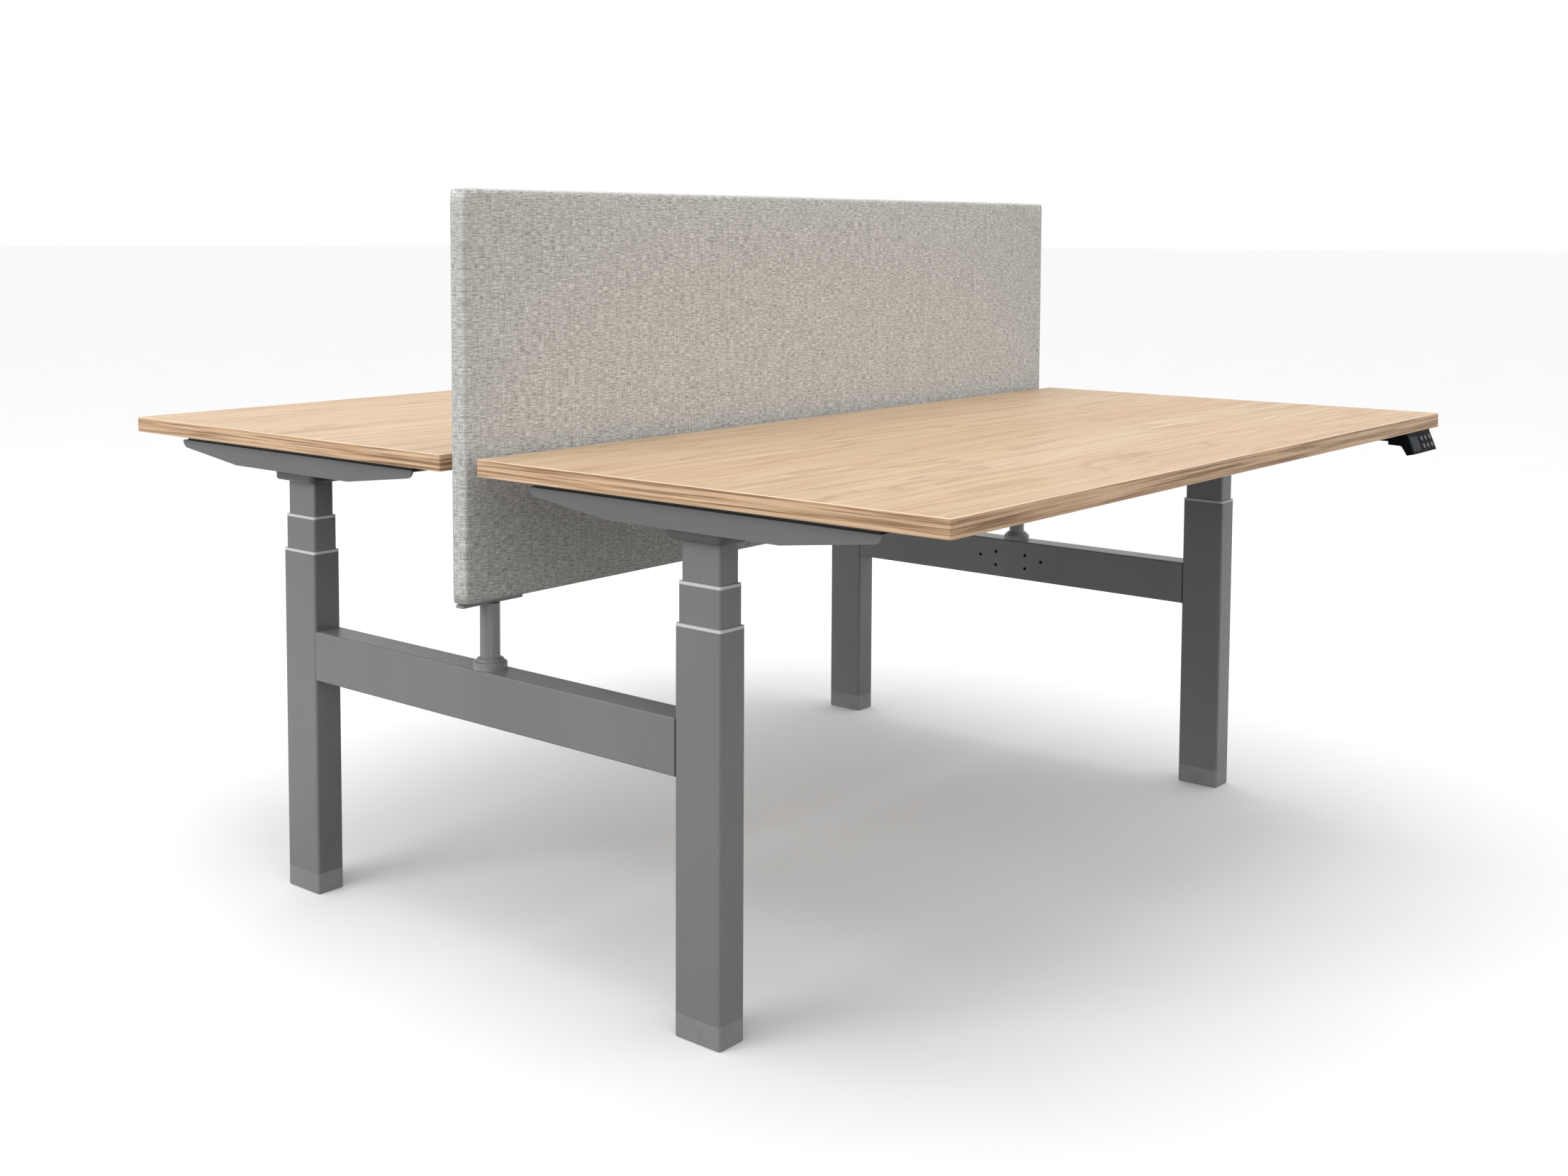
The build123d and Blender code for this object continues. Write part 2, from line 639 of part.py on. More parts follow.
def handset_face(side):
    """Plane on the middle of a handset's face, X to the user's right, Y up the face."""
    middle = (FACE_FOOT[0] + FACE_HEAD[0]) / 2
    height = (FACE_FOOT[1] + FACE_HEAD[1]) / 2
    rise = (FACE_HEAD[1] - FACE_FOOT[1]) / face_length()
    run = (FACE_FOOT[0] - FACE_HEAD[0]) / face_length()
    origin = (HANDSET_X, side * middle, height)
    return Plane(origin=origin, x_dir=(-side, 0, 0), z_dir=(0, side * rise, run))


def button_points():
    """Centres of the buttons on a handset's face."""
    return {name: (BUTTON_COLUMNS[column], row * BUTTON_ROW) for name, (column, row) in BUTTONS.items()}


def handset_housing(side):
    """Handset body under the desk's edge, with a window recess and a well for each button."""
    profile = [(HANDSET_BACK, UNDERSIDE), (HANDSET_BACK, HANDSET_LEVELS[0]),
               (HANDSET_STEP, HANDSET_LEVELS[0]), (HANDSET_STEP, HANDSET_LEVELS[1]),
               HANDSET_HEEL, HANDSET_CHIN, FACE_FOOT, FACE_HEAD, (FACE_HEAD[0], UNDERSIDE)]
    with BuildPart() as housing:
        with BuildSketch(Plane.YZ.offset(HANDSET_X - HANDSET_WIDTH / 2)):
            with BuildLine():
                Polyline(*[(side * out, height) for out, height in profile], close=True)
            make_face()
        extrude(amount=HANDSET_WIDTH)
        faces = housing.faces().sort_by(Axis(origin=(0, 0, 0), direction=handset_face(side).z_dir))
        chamfer(faces[-1].edges(), HANDSET_EDGE)
        with BuildSketch(handset_face(side)):
            with Locations((WINDOW_X, 0)):
                RectangleRounded(WINDOW[0], WINDOW[1], WINDOW_RADIUS)
        extrude(amount=-WINDOW[2], mode=Mode.SUBTRACT)
        with BuildSketch(handset_face(side)):
            with Locations(*button_points().values()):
                Circle(BUTTON_RADIUS + BUTTON_PLAY)
        extrude(amount=-BUTTON_WELL, mode=Mode.SUBTRACT)
    return housing


def handset_button(side, point):
    """Round button standing a little proud of the handset's face."""
    with BuildPart() as button:
        with BuildSketch(handset_face(side).offset(BUTTON_PROUD - BUTTON_LENGTH)):
            with Locations(point):
                Circle(BUTTON_RADIUS)
        extrude(amount=BUTTON_LENGTH)
        top = button.faces().sort_by(Axis(origin=(0, 0, 0), direction=handset_face(side).z_dir))[-1]
        fillet(top.edges(), BUTTON_EDGE)
    return button


def build_end_frames():
    """Everything that stands still."""
    for end_name, end in ENDS.items():
        save(cross_beam(end), f"{end_name}_cross_beam")
        for side_name, side in SIDES.items():
            save(outer_column(end, side), f"{end_name}_{side_name}_outer_column")
    save(column_end_caps(), "column_end_caps")
    save(glide_bushes(columns(), OUTER, MIDDLE, OUTER_TOP), "lower_glide_bushes")
    save(lift_nut_tubes(), "lift_nut_tubes")
    save(frame_fasteners(), "frame_fasteners")
    save(screen_posts(), "screen_posts")
    save(post_collars(), "post_collars")
    save(screen_core(), "screen_core")
    save(screen_upholstery(), "screen_upholstery")


def build_desk(side_name, side):
    """One lifting desk with its middle stages, screws and handset."""
    for end_name, end in ENDS.items():
        save(middle_tube(end, side), f"{end_name}_{side_name}_middle_tube")
        save(inner_tube(end, side), f"{end_name}_{side_name}_inner_tube")
        save(drive_screw(end, side), f"{end_name}_{side_name}_drive_screw")
        save(support_arm(end, side), f"{end_name}_{side_name}_support_arm")
    mouths = [(end, side) for end in ENDS.values()]
    save(glide_bushes(mouths, MIDDLE, INNER, MIDDLE_SPAN[1]), f"{side_name}_upper_glide_bushes")
    save(hollow_lift_screws(side), f"{side_name}_hollow_lift_screws")
    save(lift_motors(side), f"{side_name}_lift_motors")
    save(long_rails(side), f"{side_name}_long_rails")
    save(wood_screws(side), f"{side_name}_wood_screws")
    save(desktop(side), f"{side_name}_desktop")
    save(edge_band(side), f"{side_name}_edge_band")
    save(control_box(side), f"{side_name}_control_box")
    save(handset_housing(side), f"{side_name}_handset_housing")
    for name, point in button_points().items():
        save(handset_button(side, point), f"{side_name}_button_{name}")


os.makedirs("parts", exist_ok=True)
build_end_frames()
for desk_name, desk_side in SIDES.items():
    build_desk(desk_name, desk_side)
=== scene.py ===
import json
import math

import bmesh
import bpy
from mathutils import Matrix, Vector, noise


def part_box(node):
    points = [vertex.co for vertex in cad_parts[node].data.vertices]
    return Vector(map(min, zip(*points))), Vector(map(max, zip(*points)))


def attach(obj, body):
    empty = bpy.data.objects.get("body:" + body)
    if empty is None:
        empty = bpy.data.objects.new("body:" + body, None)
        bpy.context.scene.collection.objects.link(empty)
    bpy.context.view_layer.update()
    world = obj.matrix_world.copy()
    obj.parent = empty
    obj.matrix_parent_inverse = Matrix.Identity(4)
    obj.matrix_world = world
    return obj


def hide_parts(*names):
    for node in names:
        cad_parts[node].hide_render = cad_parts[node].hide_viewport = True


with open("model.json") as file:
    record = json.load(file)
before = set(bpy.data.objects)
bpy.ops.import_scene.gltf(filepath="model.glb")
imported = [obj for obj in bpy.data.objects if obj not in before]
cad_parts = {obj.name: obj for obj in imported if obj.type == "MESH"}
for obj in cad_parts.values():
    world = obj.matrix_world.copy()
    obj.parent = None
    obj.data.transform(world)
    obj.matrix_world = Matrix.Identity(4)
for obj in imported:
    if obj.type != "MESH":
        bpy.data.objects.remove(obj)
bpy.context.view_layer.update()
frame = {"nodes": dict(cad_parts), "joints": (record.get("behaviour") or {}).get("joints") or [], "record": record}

record = frame["record"]
SIDES = ("front", "rear")

# Metres. The support arms' top 8 mm, above the first height below, stand in the gap under a desktop and are
# painted near-black there as painted shade.
ARM_PAINTED_SHADE_HEIGHT = 0.717
PLANK_WIDTH = 0.168
PLANK_SHIFT = 4.037
THREAD_PITCH = 0.0024
MARK_RISE = 0.00012
MARK_SINK = 0.00010
ARROW_DEPTH = 0.00020


# ---------------------------------------------------------------- camera

def add_camera():
    """Camera about a metre up, off the near front corner, tilted slightly down, with a shifted lens."""
    yaw, pitch, roll = math.radians(40.54), math.radians(-4.036), math.radians(0.137)
    forward = Vector((math.cos(pitch) * math.cos(yaw), math.cos(pitch) * math.sin(yaw), math.sin(pitch)))
    right = Vector((math.sin(yaw), -math.cos(yaw), 0.0))
    up = right.cross(forward)
    x_axis = right * math.cos(roll) + up * math.sin(roll)
    y_axis = up * math.cos(roll) - right * math.sin(roll)
    turn = Matrix((x_axis, y_axis, -forward)).transposed()
    data = bpy.data.cameras.new("camera")
    data.sensor_width = 36.0
    data.lens = 40.86
    data.shift_x = 0.0403
    data.shift_y = -0.1460
    data.clip_end = 400.0
    camera = bpy.data.objects.new("camera", data)
    camera.matrix_world = Matrix.Translation((-2.484, -1.9372, 1.0711)) @ turn.to_4x4()
    bpy.context.scene.collection.objects.link(camera)
    bpy.context.scene.camera = camera


# ---------------------------------------------------------------- node helpers

class Maker:
    """Builds one procedural material, with a principled shader at its end."""

    def __init__(self, name, roughness=0.5, metallic=0.0, **sockets):
        self.material = bpy.data.materials.new(name)
        self.material.use_nodes = True
        self.tree = self.material.node_tree
        self.shader = self.tree.nodes["Principled BSDF"]
        self.shader.inputs["Roughness"].default_value = roughness
        self.shader.inputs["Metallic"].default_value = metallic
        for key, value in sockets.items():
            self.shader.inputs[key.replace("_", " ")].default_value = value
        self.place = self.node("ShaderNodeTexCoord").outputs["Object"]

    def node(self, kind, **settings):
        made = self.tree.nodes.new(kind)
        for key, value in settings.items():
            setattr(made, key, value)
        return made

    def link(self, source, target):
        self.tree.links.new(source, target)

    def scaled(self, scale, shift=(0.0, 0.0, 0.0)):
        """The object's coordinates, scaled and shifted."""
        mapping = self.node("ShaderNodeMapping")
        mapping.inputs["Scale"].default_value = scale
        mapping.inputs["Location"].default_value = shift
        self.link(self.place, mapping.inputs["Vector"])
        return mapping.outputs["Vector"]

    def noise(self, scale, detail=3.0, roughness=0.5, distortion=0.0, shift=(0.0, 0.0, 0.0)):
        """Noise, from 0 to 1, with its own scale along each axis, per metre."""
        made = self.node("ShaderNodeTexNoise")
        made.inputs["Scale"].default_value = 1.0
        made.inputs["Detail"].default_value = detail
        made.inputs["Roughness"].default_value = roughness
        made.inputs["Distortion"].default_value = distortion
        self.link(self.scaled(scale, shift), made.inputs["Vector"])
        return made.outputs["Fac"]

    def math(self, operation, a, b=0.0, clamp=False):
        made = self.node("ShaderNodeMath", operation=operation, use_clamp=clamp)
        for socket, value in zip(made.inputs, (a, b)):
            if isinstance(value, (int, float)):
                socket.default_value = value
            else:
                self.link(value, socket)
        return made.outputs[0]

    def remap(self, value, low, high, to_low=0.0, to_high=1.0, smooth=False):
        made = self.node("ShaderNodeMapRange", clamp=True)
        if smooth:
            made.interpolation_type = "SMOOTHSTEP"
        self.link(value, made.inputs["Value"])
        for key, number in (("From Min", low), ("From Max", high), ("To Min", to_low), ("To Max", to_high)):
            made.inputs[key].default_value = number
        return made.outputs["Result"]

    def ramp(self, value, *stops):
        """Colour ramp from (position, colour) stops."""
        made = self.node("ShaderNodeValToRGB")
        points = made.color_ramp.elements
        while len(points) < len(stops):
            points.new(0.5)
        for point, (position, colour) in zip(points, stops):
            point.position = position
            point.color = (*colour, 1.0)
        self.link(value, made.inputs["Fac"])
        return made.outputs["Color"]

    def mix(self, factor, a, b, blend="MIX"):
        made = self.node("ShaderNodeMix", data_type="RGBA", blend_type=blend, clamp_factor=True)
        for socket, value in ((made.inputs["Factor"], factor), (made.inputs[6], a), (made.inputs[7], b)):
            if isinstance(value, (int, float)):
                socket.default_value = value
            elif isinstance(value, tuple):
                socket.default_value = (*value, 1.0)
            else:
                self.link(value, socket)
        return made.outputs[2]

    def colour(self, value):
        self.link(value, self.shader.inputs["Base Color"])

    def roughness(self, value):
        self.link(value, self.shader.inputs["Roughness"])

    def bump(self, height, distance, strength=1.0):
        made = self.node("ShaderNodeBump")
        made.inputs["Distance"].default_value = distance
        made.inputs["Strength"].default_value = strength
        self.link(height, made.inputs["Height"])
        self.link(made.outputs["Normal"], self.shader.inputs["Normal"])

    def axis(self, name):
        split = self.node("ShaderNodeSeparateXYZ")
        self.link(self.place, split.inputs[0])
        return split.outputs[name]


# ---------------------------------------------------------------- materials

def oak_top_material():
    """Oak-grain laminate: long planks of slightly different tone, soft figure, fine open pores."""
    m = Maker("oak_top", roughness=0.48, Specular_IOR_Level=0.28)
    plank = m.math("FLOOR", m.math("MULTIPLY", m.math("ADD", m.axis("Y"), PLANK_SHIFT), 1.0 / PLANK_WIDTH))
    tone = m.node("ShaderNodeTexWhiteNoise", noise_dimensions="1D")
    m.link(plank, tone.inputs["W"])
    shifted = m.node("ShaderNodeCombineXYZ")
    m.link(m.math("MULTIPLY", tone.outputs["Value"], 9.0), shifted.inputs[0])
    m.link(m.math("MULTIPLY", plank, 0.31), shifted.inputs[2])
    joined = m.node("ShaderNodeVectorMath", operation="ADD")
    m.link(m.place, joined.inputs[0])
    m.link(shifted.outputs[0], joined.inputs[1])
    m.place = joined.outputs[0]
    figure = m.noise((0.9, 9.0, 6.0), detail=3.0, roughness=0.5, distortion=0.8)
    rings = m.math("SINE", m.math("MULTIPLY", figure, 46.0))
    streak = m.noise((2.4, 85.0, 50.0), detail=6.0, roughness=0.66)
    fibre = m.noise((12.0, 380.0, 200.0), detail=3.0, roughness=0.6)
    pores = m.remap(m.noise((46.0, 1150.0, 400.0), detail=2.0, roughness=0.5), 0.63, 0.74)
    broad = m.noise((0.55, 3.2, 3.0), detail=2.0)
    base = m.ramp(streak, (0.30, (0.480, 0.325, 0.190)), (0.44, (0.575, 0.412, 0.262)),
                  (0.58, (0.640, 0.480, 0.322)), (0.80, (0.690, 0.540, 0.380)))
    warm = m.math("MULTIPLY", m.remap(broad, 0.50, 0.74, smooth=True), 0.35)
    base = m.mix(warm, base, (0.52, 0.335, 0.195))
    base = m.mix(m.math("MULTIPLY", m.remap(rings, 0.74, 1.0), 0.42), base, (0.37, 0.225, 0.120))
    base = m.mix(m.remap(tone.outputs["Value"], 0.0, 1.0, 0.0, 0.22), base, (0.56, 0.365, 0.215))
    base = m.mix(m.math("MULTIPLY", m.remap(fibre, 0.42, 0.66), 0.30), base, (0.38, 0.235, 0.125))
    base = m.mix(m.math("MULTIPLY", pores, 0.30), base, (0.33, 0.195, 0.105))
    m.colour(base)
    m.roughness(m.remap(streak, 0.3, 0.7, 0.54, 0.44))
    height = m.math("SUBTRACT", m.math("MULTIPLY", fibre, 0.5), pores)
    m.bump(height, 0.00012, 0.4)
    return m.material


def oak_band_material():
    """Browner edge band with streaks along its length, and a painted highlight along its rounded edges at top and
    bottom.
    """
    m = Maker("oak_band", roughness=0.5, Specular_IOR_Level=0.35)
    geometry = m.node("ShaderNodeNewGeometry")
    split = m.node("ShaderNodeSeparateXYZ")
    m.link(geometry.outputs["Normal"], split.inputs[0])
    streak = m.noise((3.5, 3.5, 330.0), detail=4.0, roughness=0.62, distortion=0.15)
    fine = m.noise((14.0, 14.0, 900.0), detail=3.0, roughness=0.6)
    wave = m.noise((1.6, 1.6, 130.0), detail=3.0, roughness=0.5, shift=(3.0, 1.0, 7.0))
    base = m.ramp(streak, (0.40, (0.260, 0.145, 0.072)), (0.455, (0.500, 0.310, 0.172)),
                  (0.52, (0.680, 0.450, 0.275)), (0.66, (0.790, 0.560, 0.365)))
    base = m.mix(m.math("MULTIPLY", m.remap(wave, 0.54, 0.66), 0.50), base, (0.34, 0.190, 0.100))
    base = m.mix(m.math("MULTIPLY", m.remap(fine, 0.54, 0.72), 0.35), base, (0.33, 0.190, 0.100))
    # Painted highlight: the rounded edges at top and bottom, picked out by their normals, are lightened.
    slope = m.math("ABSOLUTE", split.outputs["Z"])
    edge_highlight = m.remap(slope, 0.3, 0.6)
    base = m.mix(m.math("MULTIPLY", edge_highlight, 0.80), base, (0.86, 0.70, 0.52))
    m.colour(base)
    m.bump(m.math("ADD", streak, m.math("MULTIPLY", fine, 0.6)), 0.00012, 0.55)
    return m.material


def coat_material(name, colour, painted_shade_height=None):
    """Powder coat: fine orange peel, hardly any cloudiness, a thin gloss and lighter, rubbed edges.
    Above the given height, if any, the piece is painted near-black: painted shade for the dark gap under a
    desktop."""
    roughness, grain, worn = 0.42, 2600.0, 0.25
    m = Maker(name, roughness=roughness, Specular_IOR_Level=0.4, Coat_Weight=0.22, Coat_Roughness=0.22)
    fine = m.noise((grain, grain, grain), detail=2.0)
    peel = m.noise((grain / 6, grain / 6, grain / 6), detail=2.0)
    cloud = m.noise((5.0, 5.0, 2.2), detail=4.0, roughness=0.6)
    speck = m.remap(m.noise((grain * 0.6,) * 3, detail=1.0, shift=(5.0, 2.0, 1.0)), 0.66, 0.78)
    dark = tuple(v * 0.97 for v in colour)
    light = tuple(min(1.0, v * 1.03) for v in colour)
    base = m.ramp(cloud, (0.32, dark), (0.5, colour), (0.68, light))
    base = m.mix(m.math("MULTIPLY", speck, 0.15), base, tuple(min(1.0, v * 1.4) for v in colour))
    edge = m.node("ShaderNodeNewGeometry").outputs["Pointiness"]
    rub = m.math("MULTIPLY", m.remap(edge, 0.52, 0.60), m.remap(cloud, 0.35, 0.65, 0.7, 1.0))
    base = m.mix(m.math("MULTIPLY", rub, worn), base, tuple(min(1.0, v * 2.4) for v in colour))
    if painted_shade_height:
        # Painted shade: near-black above the given height, standing in for the shadow in the gap under the
        # desktop.
        gap = m.remap(m.axis("Z"), painted_shade_height - 0.0010, painted_shade_height + 0.0005)
        base = m.mix(gap, base, (0.012, 0.012, 0.012))
    m.colour(base)
    m.roughness(m.remap(cloud, 0.3, 0.7, roughness + 0.02, roughness - 0.02))
    m.bump(m.math("ADD", fine, m.math("MULTIPLY", peel, 1.5)), 0.00004, 0.5)
    return m.material


def moulded_material(name, colour, roughness=0.5, grain=1500.0, depth=0.00006, spread=0.12, shine=0.4):
    """Moulded plastic with a spark-eroded grain and faint handling marks."""
    m = Maker(name, roughness=roughness, Specular_IOR_Level=shine)
    cell = m.node("ShaderNodeTexVoronoi", feature="SMOOTH_F1")
    cell.inputs["Scale"].default_value = 1.0
    m.link(m.scaled((grain, grain, grain)), cell.inputs["Vector"])
    haze = m.noise((26.0, 26.0, 26.0), detail=5.0, roughness=0.65)
    low = tuple(v * (1.0 - spread) for v in colour)
    high = tuple(min(1.0, v * (1.0 + spread)) for v in colour)
    m.colour(m.ramp(haze, (0.30, low), (0.70, high)))
    m.roughness(m.remap(haze, 0.3, 0.7, roughness - 0.06, roughness + 0.08))
    m.bump(cell.outputs["Distance"], depth, 0.5)
    return m.material


def steel_material(name, colour, roughness, along=(60.0, 60.0, 2600.0)):
    """Turned or plated steel, with fine tool marks and light staining."""
    m = Maker(name, roughness=roughness, metallic=1.0)
    marks = m.noise(along, detail=3.0, roughness=0.6)
    stain = m.noise((35.0, 35.0, 35.0), detail=4.0, roughness=0.6)
    low = tuple(v * 0.72 for v in colour)
    m.colour(m.ramp(stain, (0.35, low), (0.62, colour)))
    m.roughness(m.remap(marks, 0.3, 0.7, roughness - 0.08, roughness + 0.12))
    m.bump(marks, 0.00004, 0.6)
    return m.material


def board_material():
    """Raw fibreboard."""
    m = Maker("core_board", roughness=0.85)
    chips = m.noise((500.0, 500.0, 900.0), detail=4.0, roughness=0.7)
    m.colour(m.ramp(chips, (0.3, (0.30, 0.20, 0.11)), (0.7, (0.50, 0.37, 0.23))))
    m.bump(chips, 0.0002, 0.6)
    return m.material


def fabric_material():
    """Light grey melange weave: uneven warp and weft threads with slubs, and a short nap."""
    m = Maker("screen_fabric", roughness=0.92, Specular_IOR_Level=0.15,
              Sheen_Weight=0.22, Sheen_Roughness=0.45)
    # Flat cloth coordinates: X + Y and Z on the upright faces, X and Z + Y on the top and bottom edges.
    facing = m.node("ShaderNodeSeparateXYZ")
    m.link(m.node("ShaderNodeNewGeometry").outputs["Normal"], facing.inputs[0])
    level = m.remap(m.math("ABSOLUTE", facing.outputs["Z"]), 0.6, 0.8)
    along_top = m.math("MULTIPLY", m.axis("Y"), level)
    round_end = m.math("SUBTRACT", m.axis("Y"), along_top)
    cloth = m.node("ShaderNodeCombineXYZ")
    m.link(m.math("ADD", m.axis("X"), round_end), cloth.inputs[0])
    m.link(m.math("ADD", m.axis("Z"), along_top), cloth.inputs[2])
    m.place = cloth.outputs[0]
    wobble = m.noise((55.0, 55.0, 55.0), detail=2.0)
    bend = m.math("MULTIPLY", m.math("SUBTRACT", wobble, 0.5), 0.0030)
    height = m.math("ADD", m.axis("Z"), bend)
    across = m.math("ADD", m.axis("X"), bend)
    pitch = 2.0 * math.pi / THREAD_PITCH
    weft = m.math("ADD", m.math("MULTIPLY", m.math("SINE", m.math("MULTIPLY", height, pitch)), 0.5), 0.5)
    warp = m.math("ADD", m.math("MULTIPLY", m.math("SINE", m.math("MULTIPLY", across, pitch)), 0.5), 0.5)
    weft_slub = m.noise((80.0, 80.0, 600.0), detail=3.0, roughness=0.65)
    warp_slub = m.noise((600.0, 600.0, 75.0), detail=3.0, roughness=0.65, shift=(2.0, 5.0, 3.0))
    weft_long = m.noise((14.0, 14.0, 300.0), detail=3.0, roughness=0.6, shift=(7.0, 1.0, 4.0))
    warp_long = m.noise((240.0, 240.0, 9.0), detail=3.0, roughness=0.6, shift=(1.0, 8.0, 2.0))
    patch = m.noise((24.0, 24.0, 24.0), detail=3.0, roughness=0.6)
    slub = m.math("ADD", m.math("MULTIPLY", weft_slub, 0.52), m.math("MULTIPLY", warp_slub, 0.26))
    slub = m.math("ADD", slub, m.math("MULTIPLY", weft_long, 0.12))
    slub = m.math("ADD", slub, m.math("MULTIPLY", warp_long, 0.10))
    base = m.ramp(slub, (0.40, (0.270, 0.270, 0.258)), (0.46, (0.460, 0.460, 0.440)),
                  (0.53, (0.665, 0.665, 0.640)), (0.60, (0.930, 0.930, 0.900)))
    pit = m.math("MULTIPLY", m.math("SUBTRACT", 1.0, weft), m.math("SUBTRACT", 1.0, warp))
    base = m.mix(m.math("MULTIPLY", pit, 0.30), base, (0.19, 0.187, 0.178))
    base = m.mix(m.remap(patch, 0.35, 0.65, 0.0, 0.10), base, (0.60, 0.585, 0.56))
    m.colour(base)
    relief = m.math("ADD", m.math("MAXIMUM", weft, warp), m.math("MULTIPLY", slub, 1.6))
    m.bump(relief, 0.0005, 0.55)
    return m.material


def glass_material():
    """Dark blue display window behind clear plastic."""
    m = Maker("display_window", roughness=0.20, Specular_IOR_Level=0.05)
    haze = m.noise((120.0, 120.0, 120.0), detail=3.0)
    m.colour(m.ramp(haze, (0.35, (0.005, 0.009, 0.018)), (0.65, (0.008, 0.014, 0.027))))
    m.roughness(m.remap(haze, 0.3, 0.7, 0.16, 0.26))
    m.bump(haze, 0.00002, 0.3)
    return m.material


def print_material():
    """Pale print on the buttons."""
    m = Maker("button_print", roughness=0.6)
    haze = m.noise((300.0, 300.0, 300.0), detail=2.0)
    m.colour(m.ramp(haze, (0.3, (0.42, 0.43, 0.45)), (0.7, (0.55, 0.56, 0.57))))
    return m.material


def floor_material():
    """Plain pale floor with a barely visible grain."""
    m = Maker("floor", roughness=0.9, Specular_IOR_Level=0.1)
    haze = m.noise((3.0, 3.0, 3.0), detail=5.0)
    m.colour(m.ramp(haze, (0.3, (0.94, 0.94, 0.94)), (0.7, (0.96, 0.96, 0.96))))
    return m.material


MATERIALS = {
    "oak_top": oak_top_material(),
    "oak_band": oak_band_material(),
    "frame_grey": coat_material("frame_grey", (0.132, 0.133, 0.135)),
    # The arm's top 8 mm gets painted shade for the dark gap under the desktop.
    "arm_grey": coat_material("arm_grey", (0.118, 0.119, 0.121), painted_shade_height=ARM_PAINTED_SHADE_HEIGHT),
    "post_grey": coat_material("post_grey", (0.190, 0.191, 0.193)),
    "motor_grey": coat_material("motor_grey", (0.042, 0.043, 0.044)),
    "cap_grey": moulded_material("cap_grey", (0.240, 0.241, 0.243), roughness=0.55),
    "glide_light": moulded_material("glide_light", (0.66, 0.66, 0.66), roughness=0.42, spread=0.05),
    "screw_steel": steel_material("screw_steel", (0.48, 0.48, 0.49), 0.32),
    "zinc_steel": steel_material("zinc_steel", (0.58, 0.58, 0.60), 0.38, along=(900.0, 900.0, 900.0)),
    "core_board": board_material(),
    "screen_fabric": fabric_material(),
    "box_black": moulded_material("box_black", (0.020, 0.020, 0.021), roughness=0.55),
    "handset_black": moulded_material("handset_black", (0.006, 0.007, 0.009), depth=0.00003, shine=0.04),
    "button_grey": moulded_material("button_grey", (0.120, 0.123, 0.130), grain=2500.0,
                                    depth=0.00003, shine=0.2),
}

GLASS = glass_material()
PRINT = print_material()


def paint_cad():
    """Every node takes the material of the slot that the record gives it."""
    slots = {part["node"]: part["material_slot"] for part in record["subparts"]}
    for name, node in frame["nodes"].items():
        material = MATERIALS[slots[name]]
        node.data.materials.clear()
        node.data.materials.append(material)


# ---------------------------------------------------------------- new pieces

def link_mesh(name, mesh_data, material):
    piece = bpy.data.objects.new(name, mesh_data)
    bpy.context.scene.collection.objects.link(piece)
    piece.data.materials.append(material)
    for face in piece.data.polygons:
        face.use_smooth = True
    return piece


def screen_cover():
    """Padded fabric cover of the screen: a crowned closed form, drawn in a little at its corners."""
    low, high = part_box("screen_upholstery")
    centre = (low + high) / 2
    half = (high - low) / 2
    edge = 0.0085
    face_inset, crown_rise = 0.0022, 0.0030
    columns_x, rows_z = 160, 60
    shape = bmesh.new()

    def surface(u, v, side):
        """Point on the front or rear face, u and v from -1 to 1."""
        x, z = u * (half.x - edge), v * (half.z - edge)
        crown = (1 - u ** 6) * (1 - v ** 6)
        ripple = noise.noise(Vector((x * 2.1, side * 3.0, z * 2.6))) * 0.0011
        ripple += noise.noise(Vector((x * 7.0, side * 9.0, z * 8.0))) * 0.0004
        y = side * (half.y - face_inset + crown_rise * crown + ripple * crown)
        return Vector((x, y, z))

    grids = {}
    for side in (-1, 1):
        for i in range(columns_x + 1):
            for j in range(rows_z + 1):
                u, v = 2 * i / columns_x - 1, 2 * j / rows_z - 1
                grids[side, i, j] = shape.verts.new(centre + surface(u, v, side))
    for side in (-1, 1):
        for i in range(columns_x):
            for j in range(rows_z):
                quad = [grids[side, i, j], grids[side, i + 1, j],
                        grids[side, i + 1, j + 1], grids[side, i, j + 1]]
                shape.faces.new(quad if side < 0 else quad[::-1])

    loop = [(i, 0) for i in range(columns_x)] + [(columns_x, j) for j in range(rows_z)]
    loop += [(i, rows_z) for i in range(columns_x, 0, -1)] + [(0, j) for j in range(rows_z, 0, -1)]
    steps = 12
    rings = []
    for i, j in loop:
        front, rear = grids[-1, i, j], grids[1, i, j]
        out = Vector((0.0, 0.0, 0.0))
        if i == 0:
            out.x = -1.0
        if i == columns_x:
            out.x = 1.0
        if j == 0:
            out.z = -1.0
        if j == rows_z:
            out.z = 1.0
        if out.length > 1.0:
            out *= 0.80
        middle = (front.co + rear.co) / 2
        reach = (rear.co.y - front.co.y) / 2
        wave = 1.0 + 0.05 * noise.noise(Vector((middle.x * 5.0, 1.0, middle.z * 5.0)))
        ring = [front]
        for k in range(1, steps):
            angle = math.pi * k / steps
            across = -math.cos(angle)
            squared = math.sin(angle) ** 0.42
            flat = math.copysign(abs(across) ** 0.80, across)
            ring.append(shape.verts.new(middle + Vector((0, flat * reach, 0)) + out * edge * squared * wave))
        ring.append(rear)
        rings.append(ring)
    for n, ring in enumerate(rings):
        after = rings[(n + 1) % len(rings)]
        for k in range(steps):
            shape.faces.new([ring[k], ring[k + 1], after[k + 1], after[k]])
    bmesh.ops.recalc_face_normals(shape, faces=shape.faces)
    mesh_data = bpy.data.meshes.new("screen_cover")
    shape.to_mesh(mesh_data)
    shape.free()
    cover = link_mesh("screen_cover", mesh_data, MATERIALS["screen_fabric"])
    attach(cover, "root")
    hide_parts("screen_upholstery")


